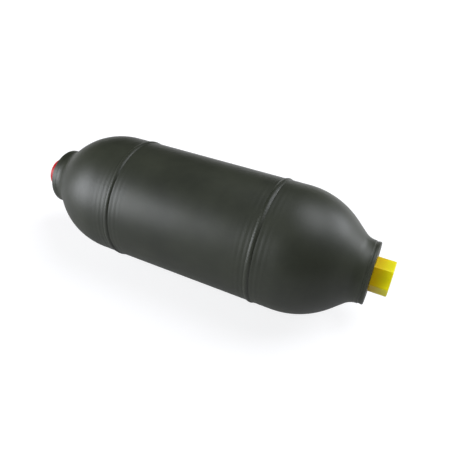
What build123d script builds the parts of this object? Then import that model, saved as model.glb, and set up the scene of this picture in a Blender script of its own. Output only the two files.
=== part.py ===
from build123d import *
import os
from math import acos, cos, radians, sin, sqrt, tan

os.makedirs("parts", exist_ok=True)

# Bladder accumulator. The vessel's axis lies along X with the fluid port at +X and the gas valve at -X.
# The origin is on the axis, midway between the two welds. Millimetres.

# Vessel: a length of heavy tube between two spun heads
shell_od = 219.1
shell_wall = 12.5
weld_spacing = 268.0
head_skirt = 36.5
dome_radius = 139.0
dome_turn = 41.0
inner_dome_radius = 112.0
neck_od = 106.0
neck_blend = 28.0
neck_land = 1.5
neck_chamfer = 1.0

# Circular butt welds
weld_width = 9.5
weld_root = 2.5
weld_crown = 1.8
weld_penetration = 0.6

# Gas neck: a turned collar and the hole for the bladder's stem
collar_length = 9.5
collar_step = 0.6

# Fluid neck: the hole for the port assembly
port_bore = 76.0

# Bladder and its moulded-in stem
bladder_wall = 3.5
bladder_gap = 1.5
bladder_tip_gap = 3.0
stem_diameter = 30.0
stem_clearance = 0.4
stem_passage = 7.0
stem_flange_diameter = 68.0
stem_flange_thickness = 5.0
flange_cover = 3.0
flange_setback = 10.4
stem_tail = 1.5
stem_standout = 12.5
stem_washer_thickness = 2.0
stem_washer_overhang = 2.0
stem_nut_flats = 46.0
stem_nut_height = 9.5

# Gas charging valve, screwed into the end of the stem
valve_thread = 14.0
valve_socket_depth = 18.0
valve_seal_thickness = 0.8
valve_hex_flats = 22.0
valve_hex_height = 3.0
valve_nipple_length = 5.7
valve_end_gap = 1.0
core_diameter = 6.0
core_bore = 3.2
core_length = 12.0
core_setback = 4.8
core_spring_pocket = 4.4
core_spring_depth = 3.5
pin_diameter = 1.8
pin_recess = 1.2
pin_collar_diameter = 3.8
pin_collar_thickness = 0.6
pin_collar_setback = 2.9
pin_seal_diameter = 4.8
pin_seal_thickness = 1.5
pin_tail = 4.9
core_spring_wire = 0.4
core_spring_turns = 4.0

# Red cap over the gas valve, gripping the corners of the stem nut
gas_cap_length = 26.0
gas_cap_wall = 2.5
gas_cap_end = 2.4
gas_cap_edge = 2.2
gas_cap_seat_gap = 0.4
gas_cap_grip = 0.15

# Fluid port body
port_stem_diameter = 62.0
port_flange_thickness = 7.0
port_flange_clearance = 0.8
ring_step_depth = 8.0
seat_diameter = 51.0
seat_depth = 4.5
guide_inset = 15.8
guide_thickness = 12.0
outlet_chamber_diameter = 36.4
outlet_taper = 4.0
outlet_diameter = 31.0
port_shoulder_diameter = 46.0
port_shoulder_length = 3.2
port_thread_diameter = 42.0
port_thread_length = 21.8
port_thread_chamfer = 1.5
flow_hole_count = 8
flow_hole_diameter = 7.6
flow_hole_circle = 28.4

# Anti-extrusion ring: rubber moulded over two steel half rings
ring_outer_diameter = 108.0
ring_rim = 5.0
ring_spigot = 1.0
insert_thickness = 3.0
insert_cover = 2.2
insert_edge_cover = 2.0
insert_bore_margin = 2.3
insert_gap_angle = 6.0

# Seal stack in the neck, spacer and ring nut
port_washer_thickness = 3.0
o_ring_squeeze = 0.05
backup_ring_thickness = 3.0
spacer_flange = 2.2
spacer_inset = 1.0
ring_nut_height = 5.3
ring_nut_inset = 0.5
ring_nut_chamfer = 1.0
spanner_hole_count = 4
spanner_hole_diameter = 6.0
spanner_hole_depth = 4.0
spanner_hole_circle = 84.0

# Poppet valve
poppet_travel = 12.0
seat_clearance = 0.2
head_diameter = 54.0
head_rim = 1.5
head_dome = 5.0
head_underside_gap = 0.5
poppet_stem_diameter = 11.0
bush_wall = 2.5
running_clearance = 0.05
stop_gap = 0.2
stop_nut_flats = 17.0
stop_nut_height = 8.0
stem_end_overhang = 2.0
spring_wire = 3.0
spring_mean_diameter = 20.0
spring_turns = 5.0
spring_end_gap = 0.1

# Yellow hexagonal cap over the fluid port thread
fluid_cap_flats = 51.0
fluid_cap_length = 29.8
fluid_cap_end = 3.0
fluid_cap_edge = 1.6
fluid_cap_lip = 0.6
fluid_cap_seat_gap = 0.3
fluid_cap_grip = 0.15
fluid_cap_thread_room = 1.2
fluid_cap_twist = 54.3

# Common clearances
assembly_clearance = 0.1
seal_clearance = 0.1

# Vessel positions along the axis, counted outwards from the middle and the same at both ends
shell_r = shell_od / 2
bore_r = shell_r - shell_wall
neck_r = neck_od / 2
weld_x = weld_spacing / 2
dome_x = weld_x + head_skirt
turn = radians(dome_turn)
dome_centre_r = shell_r - dome_radius
dome_end_x = dome_x + dome_radius * sin(turn)
dome_end_r = dome_centre_r + dome_radius * cos(turn)
blend_start_r = neck_r + neck_blend * (1 - cos(turn))
blend_start_x = dome_end_x + (dome_end_r - blend_start_r) / tan(turn)
blend_end_x = blend_start_x + neck_blend * sin(turn)
neck_face_x = blend_end_x + neck_land
inner_centre_r = bore_r - inner_dome_radius


def inner_dome_x(r, gap=0.0):
    """Distance along the axis at which the inside of a head, moved in by gap, reaches radius r."""
    radius = inner_dome_radius - gap
    return dome_x + sqrt(radius**2 - (r - inner_centre_r) ** 2)


def inner_dome_r(x, gap=0.0):
    """Radius at which the inside of a head, moved in by gap, is reached at distance x along the axis."""
    radius = inner_dome_radius - gap
    return inner_centre_r + sqrt(radius**2 - (x - dome_x) ** 2)


def inner_dome_point(angle, gap=0.0):
    """Point on the inside of a head, moved in by gap, at an angle from the end of its straight skirt."""
    radius = inner_dome_radius - gap
    return (dome_x + radius * sin(angle), inner_centre_r + radius * cos(angle))


def head_face(rim, mouth_r):
    """Half section of a head: skirt, dome, blend into the neck, rim points, hole and thickened inside."""
    mouth_angle = acos((mouth_r - inner_centre_r) / inner_dome_radius)
    mid = turn / 2
    with BuildSketch() as face:
        with BuildLine():
            Line((weld_x + weld_width / 2, shell_r), (dome_x, shell_r))
            ThreePointArc(
                (dome_x, shell_r),
                (dome_x + dome_radius * sin(mid), dome_centre_r + dome_radius * cos(mid)),
                (dome_end_x, dome_end_r),
            )
            Line((dome_end_x, dome_end_r), (blend_start_x, blend_start_r))
            ThreePointArc(
                (blend_start_x, blend_start_r),
                (blend_end_x - neck_blend * sin(mid), neck_r + neck_blend * (1 - cos(mid))),
                (blend_end_x, neck_r),
            )
            Polyline(
                (blend_end_x, neck_r),
                *rim,
                (rim[-1][0], mouth_r),
                (inner_dome_x(mouth_r), mouth_r),
            )
            ThreePointArc(
                (inner_dome_x(mouth_r), mouth_r),
                inner_dome_point(mouth_angle / 2),
                (dome_x, bore_r),
            )
            Polyline(
                (dome_x, bore_r),
                (weld_x + weld_root / 2, bore_r),
                (weld_x + weld_width / 2, shell_r),
            )
        make_face()
    return face.sketch


def weld_face(x):
    """Half section of a butt weld centred at x: bevelled sides, a proud crown and a small root bead."""
    with BuildSketch() as face:
        with BuildLine():
            ThreePointArc(
                (x - weld_width / 2, shell_r),
                (x, shell_r + weld_crown),
                (x + weld_width / 2, shell_r),
            )
            Line((x + weld_width / 2, shell_r), (x + weld_root / 2, bore_r))
            ThreePointArc(
                (x + weld_root / 2, bore_r),
                (x, bore_r - weld_penetration),
                (x - weld_root / 2, bore_r),
            )
            Line((x - weld_root / 2, bore_r), (x - weld_width / 2, shell_r))
        make_face()
    return face.sketch


# Sections of the gas side are drawn on a plane whose first direction is -X, so both ends count outwards
gas_plane = Plane(origin=(0, 0, 0), x_dir=(-1, 0, 0), z_dir=(0, 0, -1))


def gas_cross_plane(x):
    """Plane across the axis at distance x on the gas side, facing outwards."""
    return Plane(origin=(-x, 0, 0), x_dir=(0, 1, 0), z_dir=(-1, 0, 0))


def fluid_cross_plane(x):
    """Plane across the axis at distance x on the fluid side, facing outwards."""
    return Plane(origin=(x, 0, 0), x_dir=(0, 1, 0), z_dir=(1, 0, 0))


# ---------------------------------------------------------------- vessel

with BuildPart() as shell_tube:
    with BuildSketch():
        with BuildLine():
            Polyline(
                (-weld_x + weld_width / 2, shell_r),
                (weld_x - weld_width / 2, shell_r),
                (weld_x - weld_root / 2, bore_r),
                (-weld_x + weld_root / 2, bore_r),
                close=True,
            )
        make_face()
    revolve(axis=Axis.X)

fluid_rim = [(neck_face_x - neck_chamfer, neck_r), (neck_face_x, neck_r - neck_chamfer)]
port_bore_r = port_bore / 2
fluid_section = head_face(fluid_rim, port_bore_r)
with BuildPart() as fluid_head:
    with BuildSketch():
        add(fluid_section)
    revolve(axis=Axis.X)

# The gas neck ends in a collar that is turned down a little, which leaves a bright-edged step
gas_face_x = neck_face_x + collar_length
collar_r = neck_r - collar_step
stem_r = stem_diameter / 2
stem_hole_r = stem_r + stem_clearance
gas_rim = [
    (neck_face_x - neck_chamfer, neck_r),
    (neck_face_x - neck_chamfer, collar_r - neck_chamfer / 2),
    (neck_face_x, collar_r - neck_chamfer / 2),
    (neck_face_x, collar_r),
    (gas_face_x - neck_chamfer, collar_r),
    (gas_face_x, collar_r - neck_chamfer),
]
gas_section = head_face(gas_rim, stem_hole_r)
with BuildPart() as gas_head:
    with BuildSketch(gas_plane):
        add(gas_section)
    revolve(axis=Axis.X)

fluid_weld_section = weld_face(weld_x)
with BuildPart() as fluid_weld:
    with BuildSketch():
        add(fluid_weld_section)
    revolve(axis=Axis.X)

gas_weld_section = weld_face(-weld_x)
with BuildPart() as gas_weld:
    with BuildSketch():
        add(gas_weld_section)
    revolve(axis=Axis.X)

# ---------------------------------------------------------------- fluid port body

stem_port_r = port_stem_diameter / 2
bore_mouth_x = inner_dome_x(port_bore_r)
ring_back_x = bore_mouth_x + ring_spigot
ring_step_x = ring_back_x - ring_step_depth
seat_face_x = ring_step_x - port_flange_thickness
port_flange_r = port_bore_r - port_flange_clearance
seat_r = seat_diameter / 2
throat_r = seat_r - seat_depth
guide_in_x = ring_step_x + guide_inset
guide_out_x = guide_in_x + guide_thickness
ring_nut_x = neck_face_x + spacer_flange
port_face_x = ring_nut_x + ring_nut_height
shoulder_x = port_face_x + port_shoulder_length
port_end_x = shoulder_x + port_thread_length
port_thread_r = port_thread_diameter / 2
poppet_stem_r = poppet_stem_diameter / 2
bush_bore_r = poppet_stem_r + running_clearance
bush_r = bush_bore_r + bush_wall
outlet_chamber_r = outlet_chamber_diameter / 2
outlet_r = outlet_diameter / 2

with BuildPart() as fluid_port_body:
    with BuildSketch():
        with BuildLine():
            Polyline(
                (seat_face_x, seat_r),
                (seat_face_x, port_flange_r),
                (ring_step_x, port_flange_r),
                (ring_step_x, stem_port_r),
                (port_face_x, stem_port_r),
                (port_face_x, port_shoulder_diameter / 2),
                (shoulder_x, port_shoulder_diameter / 2),
                (shoulder_x, port_thread_r),
                (port_end_x - port_thread_chamfer, port_thread_r),
                (port_end_x, port_thread_r - port_thread_chamfer),
                (port_end_x, outlet_r),
                (port_face_x + outlet_taper, outlet_r),
                (port_face_x, outlet_chamber_r),
                (guide_out_x, outlet_chamber_r),
                (guide_out_x, throat_r),
                (seat_face_x + seat_depth, throat_r),
                close=True,
            )
        make_face()
    revolve(axis=Axis.X)

# The guide seats on the shoulder of the bore and carries the poppet's bush inside a ring of flow holes
with BuildPart() as poppet_guide:
    with BuildSketch(fluid_cross_plane(guide_in_x)):
        Circle(throat_r - assembly_clearance)
        Circle(bush_r, mode=Mode.SUBTRACT)
        with PolarLocations(flow_hole_circle / 2, flow_hole_count):
            Circle(flow_hole_diameter / 2, mode=Mode.SUBTRACT)
    extrude(amount=guide_thickness)

# ---------------------------------------------------------------- anti-extrusion ring

ring_r = ring_outer_diameter / 2
ring_rim_x = inner_dome_x(ring_r, seal_clearance)
spigot_r = port_bore_r - seal_clearance
spigot_x = inner_dome_x(spigot_r, seal_clearance)
ring_mid_r = (ring_r + spigot_r) / 2
insert_x = seat_face_x + insert_cover
insert_end_x = insert_x + insert_thickness
insert_r = port_flange_r + insert_bore_margin
insert_outer_r = inner_dome_r(insert_end_x, insert_edge_cover)

# Two steel half rings with a gap at each side, so the moulding can fold to pass through the neck
with BuildPart() as ring_inserts:
    for start in (insert_gap_angle / 2, 180 + insert_gap_angle / 2):
        with BuildSketch(Plane.XY.rotated((start, 0, 0))):
            with BuildLine():
                Polyline(
                    (insert_x, insert_r),
                    (insert_end_x, insert_r),
                    (insert_end_x, insert_outer_r),
                    (insert_x, insert_outer_r),
                    close=True,
                )
            make_face()
        revolve(axis=Axis.X, revolution_arc=180 - insert_gap_angle)

with BuildPart() as anti_extrusion_ring:
    with BuildSketch():
        with BuildLine():
            ThreePointArc(
                (ring_rim_x, ring_r),
                (inner_dome_x(ring_mid_r, seal_clearance), ring_mid_r),
                (spigot_x, spigot_r),
            )
            Polyline(
                (spigot_x, spigot_r),
                (ring_back_x, spigot_r),
                (ring_back_x, stem_port_r + assembly_clearance),
                (ring_step_x, stem_port_r + assembly_clearance),
                (ring_step_x, port_flange_r + assembly_clearance),
                (seat_face_x, port_flange_r + assembly_clearance),
                (ring_rim_x - ring_rim, ring_r),
                (ring_rim_x, ring_r),
            )
        make_face()
    revolve(axis=Axis.X)
    add(ring_inserts.part, mode=Mode.SUBTRACT)

# ---------------------------------------------------------------- seal stack in the fluid neck

seal_inner_r = stem_port_r + assembly_clearance
seal_outer_r = port_bore_r - assembly_clearance
o_ring_space = port_bore_r - stem_port_r
port_washer_end_x = ring_back_x + port_washer_thickness
o_ring_end_x = port_washer_end_x + o_ring_space
backup_end_x = o_ring_end_x + backup_ring_thickness

with BuildPart() as port_washer:
    with BuildSketch(fluid_cross_plane(ring_back_x)):
        Circle(seal_outer_r)
        Circle(seal_inner_r, mode=Mode.SUBTRACT)
    extrude(amount=port_washer_thickness)

with BuildPart() as port_o_ring:
    with BuildSketch():
        with Locations((port_washer_end_x + o_ring_space / 2, stem_port_r + o_ring_space / 2)):
            Circle(o_ring_space / 2 - o_ring_squeeze)
    revolve(axis=Axis.X)

with BuildPart() as port_backup_ring:
    with BuildSketch(fluid_cross_plane(o_ring_end_x)):
        Circle(seal_outer_r)
        Circle(seal_inner_r, mode=Mode.SUBTRACT)
    extrude(amount=backup_ring_thickness)

# The spacer's sleeve presses the seals and its flange covers the end of the neck
with BuildPart() as port_spacer:
    with BuildSketch():
        with BuildLine():
            Polyline(
                (backup_end_x, seal_inner_r),
                (backup_end_x, seal_outer_r),
                (neck_face_x, seal_outer_r),
                (neck_face_x, neck_r - spacer_inset),
                (ring_nut_x, neck_r - spacer_inset),
                (ring_nut_x, seal_inner_r),
                close=True,
            )
        make_face()
    revolve(axis=Axis.X)

ring_nut_r = neck_r - ring_nut_inset
with BuildPart() as port_ring_nut:
    with BuildSketch():
        with BuildLine():
            Polyline(
                (ring_nut_x, seal_inner_r),
                (ring_nut_x, ring_nut_r - ring_nut_chamfer),
                (ring_nut_x + ring_nut_chamfer, ring_nut_r),
                (port_face_x - ring_nut_chamfer, ring_nut_r),
                (port_face_x, ring_nut_r - ring_nut_chamfer),
                (port_face_x, seal_inner_r),
                close=True,
            )
        make_face()
    revolve(axis=Axis.X)
    with Locations(fluid_cross_plane(port_face_x)):
        with PolarLocations(spanner_hole_circle / 2, spanner_hole_count, start_angle=45):
            Hole(spanner_hole_diameter / 2, depth=spanner_hole_depth)

# ---------------------------------------------------------------- poppet valve, open at rest

# The head's cone is parallel to the seat, so the two stay seat_clearance apart when the valve is shut
head_x = seat_face_x - poppet_travel - seat_clearance * sqrt(2)
head_r = head_diameter / 2
underside_r = throat_r - head_underside_gap
underside_x = head_x + seat_r - underside_r
rim_x = head_x + seat_r - head_r
dome_top_x = rim_x - head_rim - head_dome
stop_nut_x = guide_out_x + stop_gap
poppet_end_x = stop_nut_x + stop_nut_height + stem_end_overhang

with BuildPart() as poppet:
    with BuildSketch():
        with BuildLine():
            ThreePointArc(
                (dome_top_x, 0),
                (dome_top_x + head_dome / 4, head_r / 2),
                (rim_x - head_rim, head_r),
            )
            Polyline(
                (rim_x - head_rim, head_r),
                (rim_x, head_r),
                (underside_x, underside_r),
                (underside_x, poppet_stem_r),
                (poppet_end_x, poppet_stem_r),
                (poppet_end_x, 0),
                (dome_top_x, 0),
            )
        make_face()
    revolve(axis=Axis.X)

with BuildPart() as poppet_bush:
    with BuildSketch(fluid_cross_plane(guide_in_x)):
        Circle(bush_r)
        Circle(bush_bore_r, mode=Mode.SUBTRACT)
    extrude(amount=guide_thickness)

with BuildPart() as poppet_stop_nut:
    with BuildSketch(fluid_cross_plane(stop_nut_x)):
        RegularPolygon(stop_nut_flats / 2, 6, major_radius=False)
        Circle(bush_bore_r, mode=Mode.SUBTRACT)
    extrude(amount=stop_nut_height)

spring_start_x = underside_x + spring_wire / 2 + spring_end_gap
spring_run = guide_in_x - spring_wire / 2 - spring_end_gap - spring_start_x
with BuildPart() as poppet_spring:
    with BuildLine() as poppet_coil:
        Helix(
            pitch=spring_run / spring_turns,
            height=spring_run,
            radius=spring_mean_diameter / 2,
            center=(spring_start_x, 0, 0),
            direction=(1, 0, 0),
        )
    with BuildSketch(Plane(poppet_coil.line @ 0, z_dir=poppet_coil.line % 0)):
        Circle(spring_wire / 2)
    sweep(is_frenet=True)

# ---------------------------------------------------------------- fluid port cap

fluid_cap_x = port_face_x + fluid_cap_seat_gap
fluid_cap_end_x = fluid_cap_x + fluid_cap_length
cap_socket_r = port_shoulder_diameter / 2 + fluid_cap_grip
cap_bore_r = port_thread_r + fluid_cap_thread_room

with BuildPart() as fluid_port_cap:
    with BuildSketch(fluid_cross_plane(fluid_cap_x)):
        RegularPolygon(fluid_cap_flats / 2, 6, major_radius=False, rotation=fluid_cap_twist)
    extrude(amount=fluid_cap_length)
    fillet(faces().sort_by(Axis.X)[-1].edges(), radius=fluid_cap_edge)
    chamfer(faces().sort_by(Axis.X)[0].edges(), length=fluid_cap_lip)
    with BuildSketch(fluid_cross_plane(fluid_cap_x)):
        Circle(cap_socket_r)
    extrude(amount=port_shoulder_length, mode=Mode.SUBTRACT)
    with BuildSketch(fluid_cross_plane(fluid_cap_x)):
        Circle(cap_bore_r)
    extrude(amount=fluid_cap_length - fluid_cap_end, mode=Mode.SUBTRACT)

# ---------------------------------------------------------------- bladder and stem

flange_back_x = inner_dome_x(stem_hole_r) - flange_setback
flange_front_x = flange_back_x - stem_flange_thickness
cover_x = flange_front_x - flange_cover
stem_hole_in_rubber = stem_r + assembly_clearance
bladder_r = bore_r - bladder_gap
bladder_inner_r = bladder_r - bladder_wall
bladder_top_angle = acos((stem_hole_in_rubber - inner_centre_r) / (inner_dome_radius - bladder_gap))
bladder_skin = bladder_gap + bladder_wall
inner_top_angle = acos((cover_x - dome_x) / (inner_dome_radius - bladder_skin))
inner_top_angle = radians(90) - inner_top_angle
cover_r = inner_centre_r + (inner_dome_radius - bladder_skin) * cos(inner_top_angle)
nose_end_x = dome_top_x - bladder_tip_gap
nose_start_x = nose_end_x - bladder_r
diagonal = sqrt(0.5)
flange_r = stem_flange_diameter / 2

with BuildPart() as bladder:
    with BuildSketch(gas_plane):
        with BuildLine():
            ThreePointArc(
                (-nose_end_x, 0),
                (-nose_start_x - bladder_r * diagonal, bladder_r * diagonal),
                (-nose_start_x, bladder_r),
            )
            Line((-nose_start_x, bladder_r), (dome_x, bladder_r))
            ThreePointArc(
                (dome_x, bladder_r),
                inner_dome_point(bladder_top_angle / 2, bladder_gap),
                inner_dome_point(bladder_top_angle, bladder_gap),
            )
            Polyline(
                inner_dome_point(bladder_top_angle, bladder_gap),
                (cover_x, stem_hole_in_rubber),
                (cover_x, cover_r),
            )
            ThreePointArc(
                (cover_x, cover_r),
                inner_dome_point(inner_top_angle / 2, bladder_skin),
                (dome_x, bladder_inner_r),
            )
            Line((dome_x, bladder_inner_r), (-nose_start_x, bladder_inner_r))
            ThreePointArc(
                (-nose_start_x, bladder_inner_r),
                (-nose_start_x - bladder_inner_r * diagonal, bladder_inner_r * diagonal),
                (-nose_end_x + bladder_wall, 0),
            )
            Line((-nose_end_x + bladder_wall, 0), (-nose_end_x, 0))
        make_face()
    revolve(axis=Axis.X)
    with BuildSketch(gas_cross_plane(flange_front_x)):
        Circle(flange_r)
    extrude(amount=stem_flange_thickness, mode=Mode.SUBTRACT)

stem_end_x = gas_face_x + stem_standout
stem_start_x = cover_x - stem_tail
valve_r = valve_thread / 2
socket_r = valve_r + assembly_clearance
socket_floor_x = stem_end_x - valve_socket_depth
with BuildPart() as gas_stem:
    with BuildSketch(gas_plane):
        with BuildLine():
            Polyline(
                (stem_start_x, stem_passage / 2),
                (stem_start_x, stem_r),
                (flange_front_x, stem_r),
                (flange_front_x, flange_r),
                (flange_back_x, flange_r),
                (flange_back_x, stem_r),
                (stem_end_x - neck_chamfer, stem_r),
                (stem_end_x, stem_r - neck_chamfer),
                (stem_end_x, socket_r),
                (socket_floor_x, socket_r),
                (socket_floor_x, stem_passage / 2),
                close=True,
            )
        make_face()
    revolve(axis=Axis.X)

stem_nut_x = gas_face_x + stem_washer_thickness
nut_corner_r = stem_nut_flats / sqrt(3)
with BuildPart() as stem_washer:
    with BuildSketch(gas_cross_plane(gas_face_x)):
        Circle(stem_nut_flats / 2 + stem_washer_overhang)
        Circle(stem_r + assembly_clearance, mode=Mode.SUBTRACT)
    extrude(amount=stem_washer_thickness)

with BuildPart() as stem_lock_nut:
    with BuildSketch(gas_cross_plane(stem_nut_x)):
        RegularPolygon(stem_nut_flats / 2, 6, major_radius=False)
        Circle(stem_r + assembly_clearance, mode=Mode.SUBTRACT)
    extrude(amount=stem_nut_height)

# ---------------------------------------------------------------- gas valve

seal_x = stem_end_x
valve_hex_x = seal_x + valve_seal_thickness
nipple_x = valve_hex_x + valve_hex_height
valve_end_x = nipple_x + valve_nipple_length
core_r = core_diameter / 2
core_end_x = valve_end_x - core_setback
core_start_x = core_end_x - core_length

with BuildPart() as valve_seal_ring:
    with BuildSketch(gas_cross_plane(seal_x)):
        Circle(valve_hex_flats / 2)
        Circle(socket_r, mode=Mode.SUBTRACT)
    extrude(amount=valve_seal_thickness)

with BuildPart() as gas_valve_body:
    with BuildSketch(gas_cross_plane(socket_floor_x + valve_end_gap)):
        Circle(valve_r)
    extrude(amount=valve_end_x - socket_floor_x - valve_end_gap)
    with BuildSketch(gas_cross_plane(valve_hex_x)):
        RegularPolygon(valve_hex_flats / 2, 6, major_radius=False)
    extrude(amount=valve_hex_height)
    with Locations(gas_cross_plane(valve_end_x)):
        Hole(core_r + running_clearance)

with BuildPart() as valve_core:
    with BuildSketch(gas_cross_plane(core_start_x)):
        Circle(core_r)
        Circle(core_bore / 2, mode=Mode.SUBTRACT)
    extrude(amount=core_length)
    with BuildSketch(gas_cross_plane(core_end_x - core_spring_depth)):
        Circle(core_spring_pocket / 2)
    extrude(amount=core_spring_depth, mode=Mode.SUBTRACT)

# The pin's seal shuts the inner end of the core, and its collar carries the spring at the outer end
pin_end_x = valve_end_x - pin_recess
pin_seal_x = core_start_x - assembly_clearance - pin_seal_thickness
pin_start_x = pin_seal_x - pin_tail
collar_x = valve_end_x - pin_collar_setback
with BuildPart() as valve_pin:
    with BuildSketch(gas_cross_plane(pin_start_x)):
        Circle(pin_diameter / 2)
    extrude(amount=pin_end_x - pin_start_x)
    with BuildSketch(gas_cross_plane(pin_seal_x)):
        Circle(pin_seal_diameter / 2)
    extrude(amount=pin_seal_thickness)
    with BuildSketch(gas_cross_plane(collar_x)):
        Circle(pin_collar_diameter / 2)
    extrude(amount=pin_collar_thickness)

core_spring_floor_x = core_end_x - core_spring_depth
core_spring_start_x = core_spring_floor_x + core_spring_wire / 2 + assembly_clearance / 2
core_spring_run = collar_x - core_spring_wire / 2 - assembly_clearance / 2 - core_spring_start_x
core_spring_r = (pin_diameter / 2 + core_spring_pocket / 2) / 2
with BuildPart() as valve_core_spring:
    with BuildLine() as core_coil:
        Helix(
            pitch=core_spring_run / core_spring_turns,
            height=core_spring_run,
            radius=core_spring_r,
            center=(-core_spring_start_x, 0, 0),
            direction=(-1, 0, 0),
        )
    with BuildSketch(Plane(core_coil.line @ 0, z_dir=core_coil.line % 0)):
        Circle(core_spring_wire / 2)
    sweep(is_frenet=True)

# ---------------------------------------------------------------- gas valve cap

gas_cap_x = gas_face_x + gas_cap_seat_gap
gas_cap_bore_r = nut_corner_r + gas_cap_grip
gas_cap_r = gas_cap_bore_r + gas_cap_wall
with BuildPart() as gas_valve_cap:
    with BuildSketch(gas_cross_plane(gas_cap_x)):
        Circle(gas_cap_r)
    extrude(amount=gas_cap_length)
    fillet(faces().sort_by(Axis.X)[0].edges(), radius=gas_cap_edge)
    with BuildSketch(gas_cross_plane(gas_cap_x)):
        Circle(gas_cap_bore_r)
    extrude(amount=gas_cap_length - gas_cap_end, mode=Mode.SUBTRACT)

pieces = {
    "shell_tube": shell_tube,
    "gas_head": gas_head,
    "fluid_head": fluid_head,
    "gas_weld": gas_weld,
    "fluid_weld": fluid_weld,
    "bladder": bladder,
    "gas_stem": gas_stem,
    "stem_washer": stem_washer,
    "stem_lock_nut": stem_lock_nut,
    "gas_valve_body": gas_valve_body,
    "valve_seal_ring": valve_seal_ring,
    "valve_core": valve_core,
    "valve_pin": valve_pin,
    "valve_core_spring": valve_core_spring,
    "gas_valve_cap": gas_valve_cap,
    "fluid_port_body": fluid_port_body,
    "anti_extrusion_ring": anti_extrusion_ring,
    "ring_inserts": ring_inserts,
    "port_washer": port_washer,
    "port_o_ring": port_o_ring,
    "port_backup_ring": port_backup_ring,
    "port_spacer": port_spacer,
    "port_ring_nut": port_ring_nut,
    "poppet_guide": poppet_guide,
    "poppet": poppet,
    "poppet_bush": poppet_bush,
    "poppet_stop_nut": poppet_stop_nut,
    "poppet_spring": poppet_spring,
    "fluid_port_cap": fluid_port_cap,
}
for piece_name, piece in pieces.items():
    piece.part.label = piece_name
    export_step(piece.part, f"parts/{piece_name}.step")
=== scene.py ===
import math
import bpy
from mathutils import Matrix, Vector, noise


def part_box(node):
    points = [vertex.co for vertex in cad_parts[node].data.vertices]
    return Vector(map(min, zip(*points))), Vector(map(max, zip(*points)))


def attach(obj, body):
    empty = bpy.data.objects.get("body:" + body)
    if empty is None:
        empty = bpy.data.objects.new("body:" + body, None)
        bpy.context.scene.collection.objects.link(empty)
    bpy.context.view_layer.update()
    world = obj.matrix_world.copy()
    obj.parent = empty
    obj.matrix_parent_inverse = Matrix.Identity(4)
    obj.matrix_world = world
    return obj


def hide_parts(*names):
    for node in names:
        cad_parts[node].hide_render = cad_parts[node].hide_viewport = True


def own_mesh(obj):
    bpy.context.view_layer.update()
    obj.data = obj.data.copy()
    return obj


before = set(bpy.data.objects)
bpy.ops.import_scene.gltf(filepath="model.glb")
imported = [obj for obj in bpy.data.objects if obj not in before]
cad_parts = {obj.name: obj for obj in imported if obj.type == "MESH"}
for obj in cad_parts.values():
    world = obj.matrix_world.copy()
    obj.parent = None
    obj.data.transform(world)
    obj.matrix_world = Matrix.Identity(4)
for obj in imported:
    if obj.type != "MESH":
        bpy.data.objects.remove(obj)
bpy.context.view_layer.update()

bpy.context.scene.view_settings.view_transform = "Standard"

# ---------------------------------------------------------------- shell tube
# A length of thick seamless tube, the straight middle of the vessel. It is bevelled at both ends
# for the welds, shot blasted and sprayed with one thick coat of dark olive enamel.

MM = 0.001
shell_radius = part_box("shell_tube")[1].z
shell_wall = 12.5 * MM
bore_radius = shell_radius - shell_wall
weld_x = (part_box("fluid_weld")[0].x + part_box("fluid_weld")[1].x) / 2
weld_half_width = 4.75 * MM
weld_half_root = 1.25 * MM
tube_rings = 190
shrink_depth = 0.16 * MM
shrink_pitch = 9 * MM
shrink_reach = 19 * MM
shrink_start = 3 * MM
shrink_side = math.radians(215)


def solid_of(name, verts, faces):
    """Closed mesh with outward faces, smooth but for its sharp edges."""
    mesh = bpy.data.meshes.new(name)
    mesh.from_pydata(verts, [], faces)
    mesh.validate()
    piece = bpy.data.objects.new(name, mesh)
    bpy.context.scene.collection.objects.link(piece)
    bpy.context.view_layer.objects.active = piece
    piece.select_set(True)
    bpy.ops.object.mode_set(mode="EDIT")
    bpy.ops.mesh.select_all(action="SELECT")
    bpy.ops.mesh.normals_make_consistent(inside=False)
    bpy.ops.object.mode_set(mode="OBJECT")
    piece.select_set(False)
    mesh.shade_smooth()
    mesh.set_sharp_from_angle(angle=math.radians(35))
    return piece


def turned(name, outline, steps=192, relief=None):
    """Piece turned about the X axis from a closed outline of (x, radius) points.

    relief(x, radius, angle) is how far the surface stands proud of the outline there.
    """
    verts, faces, rings = [], [], []
    for x, radius in outline:
        if radius < 1e-7:
            rings.append([len(verts)] * steps)
            verts.append((x, 0, 0))
            continue
        rings.append(list(range(len(verts), len(verts) + steps)))
        for i in range(steps):
            angle = 2 * math.pi * i / steps
            r = radius + (relief(x, radius, angle) if relief else 0)
            verts.append((x, r * math.cos(angle), r * math.sin(angle)))
    for a, b in zip(rings, rings[1:] + rings[:1]):
        for i in range(steps):
            j = (i + 1) % steps
            corners = [a[i], a[j], b[j], b[i]]
            face = [v for k, v in enumerate(corners) if v not in corners[:k]]
            if len(face) > 2:
                faces.append(face)
    return solid_of(name, verts, faces)


def arc(centre, radius, start, end, steps):
    """Points of an arc in the (x, radius) half plane, angles in degrees from the +X direction."""
    points = []
    for i in range(steps + 1):
        a = math.radians(start + (end - start) * i / steps)
        points.append((centre[0] + radius * math.cos(a), centre[1] + radius * math.sin(a)))
    return points


def straight(start, end, steps):
    """Points evenly spaced along a straight run, without its last point."""
    return [
        (start[0] + (end[0] - start[0]) * i / steps, start[1] + (end[1] - start[1]) * i / steps)
        for i in range(steps)
    ]


def colour(code):
    """Linear colour of an sRGB hex code."""
    parts = [int(code[i : i + 2], 16) / 255 for i in (1, 3, 5)]
    return [c / 12.92 if c <= 0.04045 else ((c + 0.055) / 1.055) ** 2.4 for c in parts] + [1.0]


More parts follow.
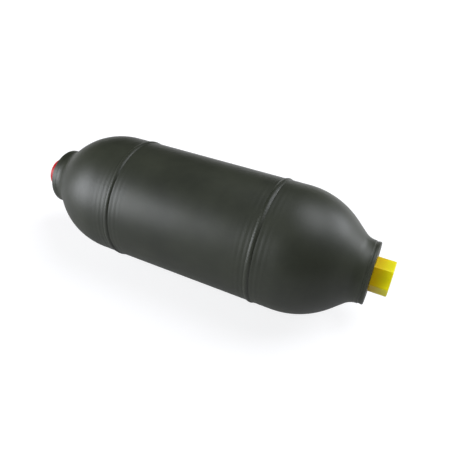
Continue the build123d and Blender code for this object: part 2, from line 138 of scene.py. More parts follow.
def add_node(material, kind, inputs=None, **settings):
    """Adds a node with its settings, and its inputs as values or as links from other nodes."""
    made = material.node_tree.nodes.new(kind)
    for key, value in settings.items():
        setattr(made, key, value)
    for socket, value in (inputs or {}).items():
        if isinstance(value, bpy.types.NodeSocket):
            material.node_tree.links.new(value, made.inputs[socket])
        else:
            made.inputs[socket].default_value = value
    return made


def new_material(name):
    """Empty node material and its surface output."""
    material = bpy.data.materials.new(name)
    material.use_nodes = True
    material.node_tree.nodes.clear()
    return material, add_node(material, "ShaderNodeOutputMaterial")


def finish_with(pieces, material):
    """Gives each piece the material in place of any other."""
    for piece in pieces:
        piece.data.materials.clear()
        piece.data.materials.append(material)


# Alkyd enamel, sprayed over blasted steel: a satin dark olive film with a slight orange peel of a
# few millimetres, cloudy patches where the coat is thinner, and broad unevenness of the spun metal
# below.
enamel_dark = "#2c2f25"
enamel_thin = "#373a2e"
peel_size = 3.5 * MM
peel_depth = 0.15 * MM
cloud_size = 90 * MM
dent_size = 45 * MM
dent_depth = 0.9 * MM
enamel, enamel_out = new_material("satin_alkyd_enamel")
place = add_node(enamel, "ShaderNodeTexCoord").outputs["Object"]
clouds = add_node(
    enamel,
    "ShaderNodeTexNoise",
    {"Vector": place, "Scale": 1 / cloud_size, "Detail": 4.0, "Roughness": 0.6},
).outputs["Fac"]
cloud_mix = add_node(
    enamel, "ShaderNodeMapRange", {"Value": clouds, "From Min": 0.35, "From Max": 0.7}
).outputs["Result"]
film = add_node(
    enamel,
    "ShaderNodeMix",
    {"Factor": cloud_mix, "A": colour(enamel_dark), "B": colour(enamel_thin)},
    data_type="RGBA",
)
peel = add_node(
    enamel, "ShaderNodeTexNoise", {"Vector": place, "Scale": 1 / peel_size, "Detail": 2.0}
).outputs["Fac"]
dents = add_node(
    enamel, "ShaderNodeTexNoise", {"Vector": place, "Scale": 1 / dent_size, "Detail": 1.0}
).outputs["Fac"]
peel_bump = add_node(
    enamel, "ShaderNodeBump", {"Height": peel, "Strength": 0.25, "Distance": peel_depth}
).outputs["Normal"]
skin = add_node(
    enamel,
    "ShaderNodeBump",
    {"Height": dents, "Normal": peel_bump, "Strength": 0.5, "Distance": dent_depth},
).outputs["Normal"]
gloss = add_node(
    enamel, "ShaderNodeMapRange", {"Value": clouds, "To Min": 0.43, "To Max": 0.5}
).outputs["Result"]
film_shader = add_node(
    enamel,
    "ShaderNodeBsdfPrincipled",
    {"Base Color": film.outputs["Result"], "Roughness": gloss, "Normal": skin},
).outputs["BSDF"]
enamel.node_tree.links.new(film_shader, enamel_out.inputs["Surface"])


def weld_shrink(x, radius, angle):
    """Shallow rings that the welds' heat drew in beside each bead, deepest on one flank."""
    gap = abs(abs(x) - weld_x) - weld_half_width
    if radius < (bore_radius + shell_radius) / 2 or gap <= 0:
        return 0
    fade = min(1.0, gap / shrink_start) * math.exp(-((gap / shrink_reach) ** 2))
    flank = 0.65 + 0.35 * math.cos(angle - shrink_side)
    return shrink_depth * fade * flank * math.sin(2 * math.pi * gap / shrink_pitch)


tube_end = weld_x - weld_half_width
tube_outline = (
    straight((-tube_end, shell_radius), (tube_end, shell_radius), tube_rings)
    + [(tube_end, shell_radius), (weld_x - weld_half_root, bore_radius)]
    + [(-weld_x + weld_half_root, bore_radius)]
)
tube = turned("painted_shell_tube", tube_outline, relief=weld_shrink)
finish_with([tube], enamel)
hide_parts("shell_tube")
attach(tube, "vessel")

# ---------------------------------------------------------------- heads
# Two heads spun from the same tube: a straight skirt, a long dome and a small blend into a thick
# neck. The gas neck ends in a turned collar, and the fluid neck in a plain chamfered face.

skirt_length = 36.5 * MM
skirt_end = weld_x + skirt_length
dome_radius = 139.0 * MM
dome_turn = 41.0
inner_dome_radius = 112.0 * MM
neck_radius = 53.0 * MM
neck_blend = 28.0 * MM
neck_chamfer = 1.0 * MM
collar_step = 0.6 * MM
fluid_hole_radius = 38.0 * MM
gas_hole_radius = 15.4 * MM
turn = math.radians(dome_turn)
dome_centre = (skirt_end, shell_radius - dome_radius)
dome_end = (skirt_end + dome_radius * math.sin(turn), dome_centre[1] + dome_radius * math.cos(turn))
blend_start_radius = neck_radius + neck_blend * (1 - math.cos(turn))
blend_start_x = dome_end[0] + (dome_end[1] - blend_start_radius) / math.tan(turn)
blend_end = blend_start_x + neck_blend * math.sin(turn)
neck_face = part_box("fluid_head")[1].x
gas_face = -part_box("gas_head")[0].x
inner_centre = (skirt_end, bore_radius - inner_dome_radius)


def head_outline(rim, hole_radius):
    """Outline of a head on the +X side: outside from weld to rim, and back along the inside."""
    hole_angle = 90 - math.degrees(math.acos((hole_radius - inner_centre[1]) / inner_dome_radius))
    return (
        straight((weld_x + weld_half_width, shell_radius), (skirt_end, shell_radius), 26)
        + arc(dome_centre, dome_radius, 90, 90 - dome_turn, 48)
        + arc((blend_end, neck_radius + neck_blend), neck_blend, -90 - dome_turn, -90, 12)
        + rim
        + [(rim[-1][0], hole_radius)]
        + arc(inner_centre, inner_dome_radius, hole_angle, 90, 24)
        + [(weld_x + weld_half_root, bore_radius)]
    )


fluid_rim = [(neck_face - neck_chamfer, neck_radius), (neck_face, neck_radius - neck_chamfer)]
fluid_outline = head_outline(fluid_rim, fluid_hole_radius)
fluid_head = turned("painted_fluid_head", fluid_outline, relief=weld_shrink)
collar_radius = neck_radius - collar_step
groove_radius = collar_radius - neck_chamfer / 2
gas_rim = [
    (neck_face - neck_chamfer, neck_radius),
    (neck_face - neck_chamfer, groove_radius),
    (neck_face, groove_radius),
    (neck_face, collar_radius),
    (gas_face - neck_chamfer, collar_radius),
    (gas_face, collar_radius - neck_chamfer),
]
gas_outline = [(-x, r) for x, r in head_outline(gas_rim, gas_hole_radius)]
gas_head = turned("painted_gas_head", gas_outline, relief=weld_shrink)
for head, node in ((fluid_head, "fluid_head"), (gas_head, "gas_head")):
    finish_with([head], enamel)
    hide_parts(node)
    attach(head, "vessel")

# ---------------------------------------------------------------- welds
# The two circular butt welds. Each is a proud bead laid in one pass round the vessel, with the
# faint curved ripples of the weld pool about every 5 mm, and it is painted with the rest.

weld_crown = 1.8 * MM
ripple_pitch = 5.0 * MM
ripple_height = 0.07 * MM
bead_unevenness = 0.3 * MM
root_height = 0.6 * MM
ripple_count = round(2 * math.pi * shell_radius / ripple_pitch)


def bead_relief(x, radius, angle):
    """Ripples of the weld pool, bowed along the bead and strongest on its crown."""
    crown = (radius - shell_radius) / weld_crown
    if crown <= 0:
        return 0
    across = (abs(x) - weld_x) / weld_half_width
    wave = math.sin(ripple_count * angle + 2.2 * across**2)
    wander = noise.noise(Vector((math.cos(angle) * 6, math.sin(angle) * 6, x * 40)))
    return crown * (ripple_height * wave + bead_unevenness * wander)


for side, name in ((1, "fluid_weld"), (-1, "gas_weld")):
    crown_radius = (weld_half_width**2 + weld_crown**2) / (2 * weld_crown)
    half_angle = math.degrees(math.asin(weld_half_width / crown_radius))
    centre = (side * weld_x, shell_radius + weld_crown - crown_radius)
    bead_outline = arc(centre, crown_radius, 90 + half_angle, 90 - half_angle, 10)
    bead_outline += [
        (side * weld_x + weld_half_root, bore_radius),
        (side * weld_x, bore_radius - root_height),
        (side * weld_x - weld_half_root, bore_radius),
    ]
    bead = turned("painted_" + name, bead_outline, steps=ripple_count * 6, relief=bead_relief)
    finish_with([bead], enamel)
    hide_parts(name)
    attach(bead, "vessel")

# ---------------------------------------------------------------- ring nut and spacer
# The ring nut and the spacer flange below it are turned steel, painted in place with the vessel, so
# only a shallow groove between them shows at the end of the neck.

finish_with([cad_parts["port_ring_nut"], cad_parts["port_spacer"]], enamel)

# ---------------------------------------------------------------- fluid port body
# One turned steel tube: a flange with the conical valve seat inside the vessel, a long stem through
# the neck and a rolled outside thread. It is left bare and oiled, with fine turning marks round the
# axis.

seat_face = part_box("fluid_port_body")[0].x
port_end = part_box("fluid_port_body")[1].x
flange_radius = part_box("fluid_port_body")[1].z
flange_depth = 7.0 * MM
ring_step = seat_face + flange_depth
guide_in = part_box("poppet_guide")[0].x
guide_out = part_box("poppet_guide")[1].x
port_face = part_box("port_ring_nut")[1].x
shoulder_height = 3.2 * MM
shoulder = port_face + shoulder_height
shoulder_radius = 23.0 * MM
stem_tube_radius = 31.0 * MM
seat_mouth_radius = 25.5 * MM
seat_inner_radius = 21.0 * MM
seat_depth = 4.5 * MM
guide_bore_radius = 18.2 * MM
port_bore_radius = 15.5 * MM
bore_taper = 4.0 * MM
thread_clearance = 1.0 * MM
port_thread_radius = 21.0 * MM
port_thread_rings = 84
SAME_RADIUS = 1e-6
thread_chamfer = 1.5 * MM
port_pitch = 2.0 * MM


def thread_cut(x, angle, pitch, start, end):
    """Depth of a 60 degree thread below its crest, run out over one turn at each end."""
    phase = (x / pitch - angle / (2 * math.pi)) % 1
    flank = max(0.0, min(1.0, (0.44 - abs(phase - 0.5)) / 0.34))
    run_out = max(0.0, min(1.0, (x - start) / pitch, (end - x) / pitch))
    return -0.6 * pitch * flank * run_out


def port_thread(x, radius, angle):
    """Thread on the outside of the port, between its shoulder and its chamfered end."""
    if abs(radius - port_thread_radius) > SAME_RADIUS or x < shoulder:
        return 0
    return thread_cut(x, angle, port_pitch, shoulder + thread_clearance, port_end)


def turned_metal(name, light, dark, roughness, pitch):
    """Bare metal cut on a lathe, with feed grooves along X and a cloudy film of oil.

    Real feed grooves are about 0.1 mm apart. The pitches below are coarser, so that they show.
    """
    oil_patch = 11 * MM
    groove_depth = 0.04 * MM
    material, output = new_material(name)
    place = add_node(material, "ShaderNodeTexCoord").outputs["Object"]
    cloud = add_node(
        material, "ShaderNodeTexNoise", {"Vector": place, "Scale": 1 / oil_patch, "Detail": 4.0}
    ).outputs["Fac"]
    tone = add_node(
        material,
        "ShaderNodeMix",
        {"Factor": cloud, "A": colour(light), "B": colour(dark)},
        data_type="RGBA",
    )
    oil = add_node(
        material,
        "ShaderNodeMapRange",
        {"Value": cloud, "To Min": roughness - 0.06, "To Max": roughness + 0.1},
    ).outputs["Result"]
    grooves = add_node(
        material,
        "ShaderNodeTexWave",
        {"Vector": place, "Scale": 0.3 / pitch, "Distortion": 0.4},
        bands_direction="X",
    ).outputs["Fac"]
    bump = add_node(
        material, "ShaderNodeBump", {"Height": grooves, "Strength": 0.2, "Distance": groove_depth}
    ).outputs["Normal"]
    shader = add_node(
        material,
        "ShaderNodeBsdfPrincipled",
        {"Base Color": tone.outputs["Result"], "Metallic": 1.0, "Roughness": oil, "Normal": bump},
    ).outputs["BSDF"]
    material.node_tree.links.new(shader, output.inputs["Surface"])
    return material


# Carbon steel turned and left bare: mid grey, with fine feed grooves and patches dulled by old oil.
turned_steel = turned_metal("oiled_turned_steel", "#9b9a95", "#7b7a75", 0.34, 0.35 * MM)

thread_end = port_end - thread_chamfer
port_outline = (
    [(seat_face, seat_mouth_radius), (seat_face, flange_radius)]
    + [(ring_step, flange_radius), (ring_step, stem_tube_radius)]
    + [(port_face, stem_tube_radius), (port_face, shoulder_radius), (shoulder, shoulder_radius)]
    + straight((shoulder, port_thread_radius), (thread_end, port_thread_radius), port_thread_rings)
    + [(thread_end, port_thread_radius), (port_end, port_thread_radius - thread_chamfer)]
    + [(port_end, port_bore_radius), (port_face + bore_taper, port_bore_radius)]
    + [(port_face, guide_bore_radius), (guide_out, guide_bore_radius)]
    + [(guide_out, seat_inner_radius), (seat_face + seat_depth, seat_inner_radius)]
)
port_tube = turned("turned_port_tube", port_outline, relief=port_thread)
finish_with([port_tube], turned_steel)
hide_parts("fluid_port_body")
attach(port_tube, "vessel")

# ---------------------------------------------------------------- seals and anti-extrusion ring
# Moulded nitrile rings, two turned washers and a white backup ring between the port and the neck.
# The rubber is matt black with a faint bloom.


def moulded_rubber(name, dark, bloom, grain):
    """Black moulded rubber with a dusty bloom in patches and a fine mould grain."""
    bloom_patch = 40 * MM
    grain_depth = 0.1 * MM
    material, output = new_material(name)
    place = add_node(material, "ShaderNodeTexCoord").outputs["Object"]
    patches = add_node(
        material, "ShaderNodeTexNoise", {"Vector": place, "Scale": 1 / bloom_patch, "Detail": 5.0}
    ).outputs["Fac"]
    tone = add_node(
        material,
        "ShaderNodeMix",
        {"Factor": patches, "A": colour(dark), "B": colour(bloom)},
        data_type="RGBA",
    )
    grit = add_node(
        material, "ShaderNodeTexNoise", {"Vector": place, "Scale": 1 / grain}
    ).outputs["Fac"]
    bump = add_node(
        material, "ShaderNodeBump", {"Height": grit, "Strength": 0.3, "Distance": grain_depth}
    ).outputs["Normal"]
    shader = add_node(
        material,
        "ShaderNodeBsdfPrincipled",
        {"Base Color": tone.outputs["Result"], "Roughness": 0.62, "Normal": bump},
    ).outputs["BSDF"]
    material.node_tree.links.new(shader, output.inputs["Surface"])
    return material


# Moulded nitrile rubber: nearly black and matt, greyer in patches where wax has come to its
# surface.
seal_rubber = moulded_rubber("nitrile_seal_rubber", "#161616", "#232322", 0.8 * MM)
finish_with([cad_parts["anti_extrusion_ring"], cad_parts["port_o_ring"]], seal_rubber)
finish_with([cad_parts["ring_inserts"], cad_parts["port_washer"]], turned_steel)

# Skived PTFE: a waxy, slightly cream white, cloudy from place to place.
cloudy_patch = 6 * MM
backup_plastic, backup_out = new_material("white_ptfe")
backup_place = add_node(backup_plastic, "ShaderNodeTexCoord").outputs["Object"]
backup_grain = add_node(
    backup_plastic, "ShaderNodeTexNoise", {"Vector": backup_place, "Scale": 1 / cloudy_patch}
).outputs["Fac"]
backup_tone = add_node(
    backup_plastic,
    "ShaderNodeMix",
    {"Factor": backup_grain, "A": colour("#e7e4dc"), "B": colour("#d8d5cb")},
    data_type="RGBA",
)
backup_shader = add_node(
    backup_plastic,
    "ShaderNodeBsdfPrincipled",
    {"Base Color": backup_tone.outputs["Result"], "Roughness": 0.45},
).outputs["BSDF"]
backup_plastic.node_tree.links.new(backup_shader, backup_out.inputs["Surface"])
finish_with([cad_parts["port_backup_ring"]], backup_plastic)

# ---------------------------------------------------------------- poppet valve
# A turned steel mushroom valve that slides in a bronze bush, held open by an oil-blackened coil
# spring. The guide disc that carries the bush has flow holes and seats on a shoulder in the port.

finish_with([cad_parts["poppet"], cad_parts["poppet_guide"]], turned_steel)
# Sintered bronze, bored on a lathe: a dull brown gold that holds oil in its pores.
bronze = turned_metal("sintered_bronze", "#a9793f", "#8a5f30", 0.42, 0.5 * MM)
finish_with([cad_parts["poppet_bush"]], bronze)
# Zinc plated steel: a light grey skin, a little brighter and evener than bare steel.
zinc = turned_metal("zinc_plated_steel", "#b0b0aa", "#96968f", 0.36, 0.5 * MM)
finish_with([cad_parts["poppet_stop_nut"]], zinc)
# Spring wire hardened and blackened in oil: near black, with a low metal shine.
spring_steel = turned_metal("oil_blackened_spring_steel", "#4a4a4b", "#333334", 0.4, 0.9 * MM)


def coil_spring(name, start, end, outer, wire, turns, dead=0.75, steps=28, sides=12):
    """Compression spring along X between two faces, with dead coils closed against each face."""
    verts, faces = [], []
    radius = (outer - wire) / 2
    open_run = abs(end - start) - wire - 2 * dead * wire
    way = 1 if end > start else -1
    count = round(turns * steps)
    for i in range(count + 1):
        turned_by = turns * i / count
        closed = min(turned_by, dead) + max(0.0, turned_by - (turns - dead))
        live = min(max(turned_by - dead, 0.0), turns - 2 * dead)
        x = start + way * (wire / 2 + closed * wire + live * open_run / (turns - 2 * dead))
        a = 2 * math.pi * turned_by
        for k in range(sides):
            b = 2 * math.pi * k / sides
            r = radius + wire / 2 * math.cos(b)
            verts.append((x + wire / 2 * math.sin(b), r * math.cos(a), r * math.sin(a)))
    for i in range(count):
        for k in range(sides):
            n = (k + 1) % sides
            faces.append([i * sides + k, i * sides + n, (i + 1) * sides + n, (i + 1) * sides + k])
    faces.append(list(range(sides)))
    faces.append([count * sides + k for k in reversed(range(sides))])
    return solid_of(name, verts, faces)


spring_diameter = 23 * MM
spring_wire = 3 * MM
spring_turns = 6.0
spring_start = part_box("poppet_spring")[0].x
spring_clearance = 0.1 * MM
spring_end = guide_in - spring_clearance
poppet_coil = coil_spring(
    "wound_poppet_spring", spring_start, spring_end, spring_diameter, spring_wire, spring_turns
)
finish_with([poppet_coil], spring_steel)
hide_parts("poppet_spring")
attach(poppet_coil, "vessel")
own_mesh(poppet_coil)

# ---------------------------------------------------------------- yellow port cap
# A soft polyethylene cap with six flats and rounded edges, pushed over the port thread. Its thin
# wall lets some light through. The shade where the dark steel lies behind is painted into its
# colour:
# palest at its outer end, amber towards its open end.

cap_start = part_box("fluid_port_cap")[0].x
cap_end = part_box("fluid_port_cap")[1].x
cap_half_flats = 25.5 * MM
cap_twist = math.radians(84.3)
cap_corner = 1.5 * MM
cap_edge = 1.6 * MM
cap_lip = 0.6 * MM
cap_end_wall = 3.0 * MM
cap_bore_radius = 22.2 * MM
socket_radius = 23.15 * MM
socket_depth = 3.2 * MM


def rounded_hexagon(half_flats, angle, corner):
    """Radius of a hexagon with rounded corners, angle counted from the middle of a flat."""
    off = abs((angle + math.pi / 6) % (math.pi / 3) - math.pi / 6)
    flat_limit = math.atan((half_flats - corner) * math.tan(math.pi / 6) / half_flats)
    if off <= flat_limit:
        return half_flats / math.cos(off)
    reach = (half_flats - corner) / math.cos(math.pi / 6)
    side = math.pi / 6 - off
    return reach * math.cos(side) + math.sqrt(corner**2 - (reach * math.sin(side)) ** 2)


cap_outline = (
    [(cap_start, cap_half_flats - cap_lip), (cap_start + cap_lip, cap_half_flats)]
    + arc((cap_end - cap_edge, cap_half_flats - cap_edge), cap_edge, 90, 0, 6)
    + [(cap_end, 0.0), (cap_end - cap_end_wall, 0.0), (cap_end - cap_end_wall, cap_bore_radius)]
    + [(cap_start + socket_depth, cap_bore_radius), (cap_start + socket_depth, socket_radius)]
    + [(cap_start, socket_radius)]
)


def bore_or_flats(x, radius, angle):
    """Rounded flats on the outside rings only."""
    if radius <= socket_radius + SAME_RADIUS:
        return 0
    return rounded_hexagon(radius, angle - cap_twist, cap_corner) - radius


def soft_plastic(name, pale, shaded_colour, axis_start, axis_end):
    """Moulded polyethylene with painted shade: darker near its open end and paler towards its
    closed end.
    """
    flow_size = 14 * MM
    flow_depth = 0.4 * MM
    light_depth = 14 * MM
    material, output = new_material(name)
    place = add_node(material, "ShaderNodeTexCoord").outputs["Object"]
    along = add_node(material, "ShaderNodeSeparateXYZ", {"Vector": place}).outputs["X"]
    # Painted shade: the colour darkens from the closed end towards the open end, where the steel
    # lies behind the thin wall.
    painted_shade_ramp = add_node(
        material,
        "ShaderNodeMapRange",
        {"Value": along, "From Min": axis_start, "From Max": axis_end},
        interpolation_type="SMOOTHSTEP",
    ).outputs["Result"]
    tone = add_node(
        material,
        "ShaderNodeMix",
        {"Factor": painted_shade_ramp, "A": colour(shaded_colour), "B": colour(pale)},
        data_type="RGBA",
    )
    flow = add_node(
        material, "ShaderNodeTexNoise", {"Vector": place, "Scale": 1 / flow_size}
    ).outputs["Fac"]
    bump = add_node(
        material, "ShaderNodeBump", {"Height": flow, "Strength": 0.3, "Distance": flow_depth}
    ).outputs["Normal"]
    shader = add_node(
        material,
        "ShaderNodeBsdfPrincipled",
        {
            "Base Color": tone.outputs["Result"],
            "Roughness": 0.42,
            "Specular IOR Level": 0.25,
            "Normal": bump,
            "Subsurface Weight": 0.6,
            "Subsurface Radius": (1.0, 0.85, 0.2),
            "Subsurface Scale": light_depth,
        },
    ).outputs["BSDF"]
    material.node_tree.links.new(shader, output.inputs["Surface"])
    return material


# Low-density polyethylene, moulded: a waxy bright yellow that light sinks into, painted amber near
# its rim as shade.
yellow_plastic = soft_plastic(
    "yellow_polyethylene", "#ffea14", "#e0b40a", cap_start, cap_end - 2 * MM
)
hex_cap = turned("moulded_hexagon_cap", cap_outline, steps=288, relief=bore_or_flats)
finish_with([hex_cap], yellow_plastic)
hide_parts("fluid_port_cap")
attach(hex_cap, "port_cap")

# ---------------------------------------------------------------- bladder
# The nitrile bag that fills the inside of the shell and holds the gas. It is dipped and cured on a
# former, so its dull black skin is smooth and slightly wavy, with a grey bloom in patches.

bladder_rubber = moulded_rubber("dipped_nitrile_rubber", "#1b1b1b", "#2a2a29", 2.5 * MM)
finish_with([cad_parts["bladder"]], bladder_rubber)

# ---------------------------------------------------------------- gas stem, washer and lock nut
# The steel stem moulded into the bladder comes out through the gas neck, where a zinc plated washer
# and a hexagonal nut with chamfered corners pull it tight. The stem has a rolled thread.

stem_start = -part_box("gas_stem")[1].x
stem_end = -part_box("gas_stem")[0].x
stem_radius = 15.0 * MM
stem_bore_radius = 3.5 * MM
flange_setback = 4.5 * MM
flange_thickness = 5.0 * MM
stem_flange_radius = 34.0 * MM
flange_front = stem_start + flange_setback
flange_back = flange_front + flange_thickness
stem_pitch = 1.5 * MM
stem_chamfer = 1.0 * MM
stem_thread_rings = 92
stem_thread_end = stem_end - stem_chamfer
valve_socket_radius = 7.1 * MM
valve_socket_depth = 18.0 * MM
thread_in_neck = 6.0 * MM
socket_floor = stem_end - valve_socket_depth
thread_start = gas_face - thread_in_neck


def stem_thread(x, radius, angle):
    """Thread on the outer end of the stem."""
    if abs(radius - stem_radius) > SAME_RADIUS or -x < thread_start:
        return 0
    return thread_cut(-x, angle, stem_pitch, thread_start, stem_thread_end)


stem_outline = (
    [(stem_start, stem_bore_radius), (stem_start, stem_radius), (flange_front, stem_radius)]
    + [(flange_front, stem_flange_radius), (flange_back, stem_flange_radius)]
    + [(flange_back, stem_radius)]
    + straight((thread_start, stem_radius), (stem_thread_end, stem_radius), stem_thread_rings)
    + [(stem_thread_end, stem_radius), (stem_end, stem_radius - stem_chamfer)]
    + [(stem_end, valve_socket_radius), (socket_floor, valve_socket_radius)]
    + [(socket_floor, stem_bore_radius)]
)
stem = turned("turned_gas_stem", [(-x, r) for x, r in stem_outline], relief=stem_thread)
finish_with([stem], turned_steel)
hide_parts("gas_stem")
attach(stem, "vessel")

finish_with([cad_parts["stem_washer"]], zinc)
nut_start = -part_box("stem_lock_nut")[1].x
nut_end = -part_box("stem_lock_nut")[0].x
nut_half_flats = 23.0 * MM
nut_corner = nut_half_flats / math.cos(math.pi / 6)
nut_chamfer = 0.58 * (nut_corner - nut_half_flats)
nut_hole_radius = 15.1 * MM
nut_corner_round = 0.4 * MM


def nut_shape(x, radius, angle):
    """Hexagon turned back to a 30 degree cone at both ends."""
    if radius < nut_half_flats - SAME_RADIUS:
        return 0
    flat = rounded_hexagon(nut_half_flats, angle - math.pi / 6, nut_corner_round)
    return min(flat, radius) - radius


nut_outline = (
    [(nut_start, nut_hole_radius), (nut_start, nut_half_flats)]
    + straight((nut_start, nut_half_flats), (nut_start + nut_chamfer, nut_corner), 8)
    + [(nut_start + nut_chamfer, nut_corner), (nut_end - nut_chamfer, nut_corner)]
    + straight((nut_end - nut_chamfer, nut_corner), (nut_end, nut_half_flats), 8)[1:]
    + [(nut_end, nut_half_flats), (nut_end, nut_hole_radius)]
)
nut_mirrored = [(-x, r) for x, r in nut_outline]
lock_nut = turned("chamfered_lock_nut", nut_mirrored, steps=216, relief=nut_shape)
finish_with([lock_nut], zinc)
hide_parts("stem_lock_nut")
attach(lock_nut, "vessel")

# ---------------------------------------------------------------- gas valve
# The charging valve screws into the stem: a zinc plated hexagon body, a rubber seal, and a brass
# core with its pin and a fine spring. Its nipple is threaded for the charging hose.

# Free-cutting brass, turned: a warm yellow metal with fine bright grooves.
brass = turned_metal("turned_brass", "#c29c4c", "#a98338", 0.3, 0.25 * MM)
valve_start = -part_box("gas_valve_body")[1].x
valve_end = -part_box("gas_valve_body")[0].x
valve_radius = 7.0 * MM
nipple_length = 5.7 * MM
hexagon_height = 3.0 * MM
hexagon_cone = 0.8 * MM
hexagon_corner_round = 0.3 * MM
nipple_start = valve_end - nipple_length
hexagon_start = nipple_start - hexagon_height
hexagon_half = 11.0 * MM
valve_pitch = 1.5 * MM
valve_chamfer = 0.6 * MM
valve_thread_end = valve_end - valve_chamfer
core_clearance = 0.05 * MM
core_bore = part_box("valve_core")[1].z + core_clearance


def valve_shape(x, radius, angle):
    """Thread on the nipple and six flats on the collar, turned back to a cone on its outer side."""
    if radius > hexagon_half - SAME_RADIUS:
        flat = rounded_hexagon(hexagon_half, angle - math.pi / 6, hexagon_corner_round)
        return min(flat, radius) - radius
    if abs(radius - valve_radius) > SAME_RADIUS or -x < nipple_start:
        return 0
    return thread_cut(-x, angle, valve_pitch, nipple_start + valve_chamfer, valve_thread_end)


hexagon_corner = hexagon_half / math.cos(math.pi / 6)
valve_outline = (
    [(valve_start, core_bore), (valve_start, valve_radius), (hexagon_start, valve_radius)]
    + [(hexagon_start, hexagon_corner), (nipple_start - hexagon_cone, hexagon_corner)]
    + [(nipple_start, hexagon_half), (nipple_start, valve_radius)]
    + straight((nipple_start, valve_radius), (valve_thread_end, valve_radius), 40)[1:]
    + [(valve_thread_end, valve_radius), (valve_end, valve_radius - valve_chamfer)]
    + [(valve_end, core_bore)]
)
valve_mirrored = [(-x, r) for x, r in valve_outline]
valve_body = turned("threaded_valve_body", valve_mirrored, steps=144, relief=valve_shape)
finish_with([valve_body], zinc)
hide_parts("gas_valve_body")
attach(valve_body, "vessel")
finish_with([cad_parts["valve_seal_ring"]], seal_rubber)
finish_with([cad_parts["valve_core"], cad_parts["valve_pin"]], brass)
core_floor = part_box("valve_core_spring")[1].x
core_length = core_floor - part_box("valve_core_spring")[0].x
core_spring_end = core_floor - core_length
core_spring_diameter = 3.5 * MM
core_spring_wire = 0.4 * MM
core_spring_turns = 5.0
core_coil = coil_spring(
    "wound_core_spring",
    core_floor,
    core_spring_end,
    core_spring_diameter,
    core_spring_wire,
    core_spring_turns,
)
finish_with([core_coil], spring_steel)
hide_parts("valve_core_spring")
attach(core_coil, "vessel")
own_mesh(core_coil)

# ---------------------------------------------------------------- red valve cap
# A round cap moulded in soft red polyethylene, which grips the corners of the lock nut and covers
# the valve. Its closed end has a rounded edge.

red_start = -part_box("gas_valve_cap")[1].x
red_end = -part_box("gas_valve_cap")[0].x
red_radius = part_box("gas_valve_cap")[1].z
red_edge = 2.2 * MM
red_lip = 0.4 * MM
red_end_wall = 2.4 * MM
red_wall = 2.5 * MM
red_bore = red_radius - red_wall
red_outline = (
    [(red_start, red_bore), (red_start, red_radius - red_lip), (red_start + red_lip, red_radius)]
    + arc((red_end - red_edge, red_radius - red_edge), red_edge, 90, 0, 8)
    + [(red_end, 0.0), (red_end - red_end_wall, 0.0), (red_end - red_end_wall, red_bore)]
)
# The same polyethylene in dark red, nearly the same from end to end, with a faint painted shade
# towards its open end.
red_plastic = soft_plastic("red_polyethylene", "#c4161f", "#a8141c", -red_start, -red_end)
round_cap = turned("moulded_round_cap", [(-x, r) for x, r in red_outline])
finish_with([round_cap], red_plastic)
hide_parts("gas_valve_cap")
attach(round_cap, "valve_cap")

# ---------------------------------------------------------------- floor, light and camera
# A plain pale floor, soft boxes round the vessel, and a long-lens camera to its front and above. A
# small card beside the yellow cap lifts its flats, and doesn't show in the enamel.

floor_z = -shell_radius - weld_crown
floor_reach = 12.0
floor_corners = [(-1, -1), (1, -1), (1, 1), (-1, 1)]
floor_mesh = bpy.data.meshes.new("floor")
floor_mesh.from_pydata(
    [(floor_reach * x, floor_reach * y, floor_z) for x, y in floor_corners], [], [(0, 1, 2, 3)]
)
floor = bpy.data.objects.new("floor", floor_mesh)
bpy.context.scene.collection.objects.link(floor)

# Matt white background paper. It glows where the camera sees it, less near the vessel as a painted
# shade round it, so it stays white but keeps the shadow. For reflected rays it glows too, dim in
# front and bright behind: a painted reflection in the vessel.
paper, paper_out = new_material("white_paper")
seen = add_node(paper, "ShaderNodeLightPath")
paper_place = add_node(paper, "ShaderNodeTexCoord").outputs["Object"]
behind = add_node(paper, "ShaderNodeSeparateXYZ", {"Vector": paper_place}).outputs["Y"]
# Painted reflection: the paper glows for reflected rays only, more strongly towards the back.
painted_reflection_sweep = add_node(
    paper,
    "ShaderNodeMapRange",
    {"Value": behind, "From Min": 0.1, "From Max": 0.7, "To Min": 0.22, "To Max": 1.1},
).outputs["Result"]
mirrored = add_node(
    paper, "ShaderNodeMath", {0: seen.outputs["Is Glossy Ray"], 1: painted_reflection_sweep}, operation="MULTIPLY"
).outputs["Value"]
paper_diffuse = add_node(
    paper, "ShaderNodeBsdfDiffuse", {"Color": colour("#a2a2a4")}
).outputs["BSDF"]
distance = add_node(
    paper, "ShaderNodeVectorMath", {0: paper_place}, operation="LENGTH"
).outputs["Value"]
# Painted shade: the glow the camera sees drops near the vessel.
camera_glow_with_painted_shade = add_node(
    paper,
    "ShaderNodeMapRange",
    {"Value": distance, "From Min": 0.5, "From Max": 1.6, "To Min": 0.76, "To Max": 1.0},
).outputs["Result"]
glow = add_node(
    paper,
    "ShaderNodeMath",
    {0: seen.outputs["Is Camera Ray"], 1: camera_glow_with_painted_shade, 2: mirrored},
    operation="MULTIPLY_ADD",
).outputs["Value"]
white = (1, 1, 1, 1)
paper_glow = add_node(
    paper, "ShaderNodeEmission", {"Color": white, "Strength": glow}
).outputs["Emission"]
paper_sum = add_node(
    paper, "ShaderNodeAddShader", {0: paper_diffuse, 1: paper_glow}
).outputs["Shader"]
paper.node_tree.links.new(paper_sum, paper_out.inputs["Surface"])
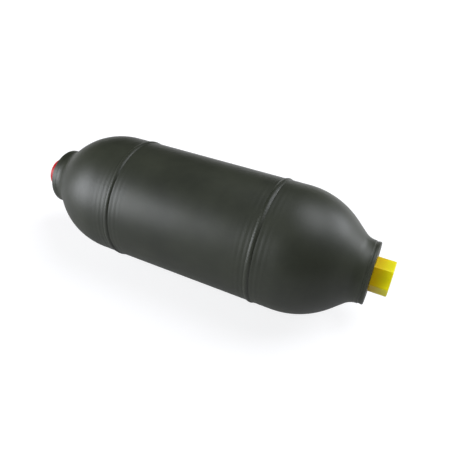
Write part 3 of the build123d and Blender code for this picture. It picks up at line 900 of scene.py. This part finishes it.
finish_with([floor], paper)

world = bpy.data.worlds.new("studio")
bpy.context.scene.world = world
world.use_nodes = True
world.node_tree.nodes.clear()
world_out = add_node(world, "ShaderNodeOutputWorld")
path = add_node(world, "ShaderNodeLightPath")
room = add_node(
    world, "ShaderNodeBackground", {"Color": white, "Strength": 0.04}
).outputs["Background"]
backdrop = add_node(
    world, "ShaderNodeBackground", {"Color": white, "Strength": 1.0}
).outputs["Background"]
sky = add_node(
    world, "ShaderNodeMixShader", {0: path.outputs["Is Camera Ray"], 1: room, 2: backdrop}
).outputs["Shader"]
world.node_tree.links.new(sky, world_out.inputs["Surface"])


def soft_box(name, place, target, size, power):
    """Rectangular daylight lamp at a place, facing a target, with its size in metres and watts."""
    lamp = bpy.data.lights.new(name, "AREA")
    lamp.shape = "RECTANGLE"
    lamp.size, lamp.size_y = size
    lamp.energy = power
    lamp.color = colour("#f6f9ff")[:3]
    box = bpy.data.objects.new(name, lamp)
    box.location = place
    box.rotation_euler = (Vector(target) - Vector(place)).to_track_quat("-Z", "Y").to_euler()
    bpy.context.scene.collection.objects.link(box)
    return box


soft_box("overhead_box", (0.8, 0.6, 2.0), (0.1, 0, 0), (1.5, 1.2), 28)
soft_box("front_left_box", (-1.9, -1.5, 0.8), (-0.05, 0, 0), (1.6, 1.5), 72)
soft_box("back_box", (1.6, 1.25, 1.0), (0.1, 0, 0), (1.2, 0.8), 26)
cap_card = soft_box("cap_card", (0.62, -0.5, 0.2), (0.33, 0, 0), (0.12, 0.12), 0.022)
cap_card.data.spread = math.radians(24)
cap_card.visible_glossy = False

camera_elevation = 40.49
camera_azimuth = 26.50
camera_data = bpy.data.cameras.new("camera")
camera = bpy.data.objects.new("camera", camera_data)
bpy.context.scene.collection.objects.link(camera)
bpy.context.scene.camera = camera
camera_data.lens = 37.14
camera_data.sensor_width = 36.0
camera.location = (0.3284, -0.5668, 0.5409)
camera.rotation_euler = (math.radians(90 - camera_elevation), 0, math.radians(camera_azimuth))
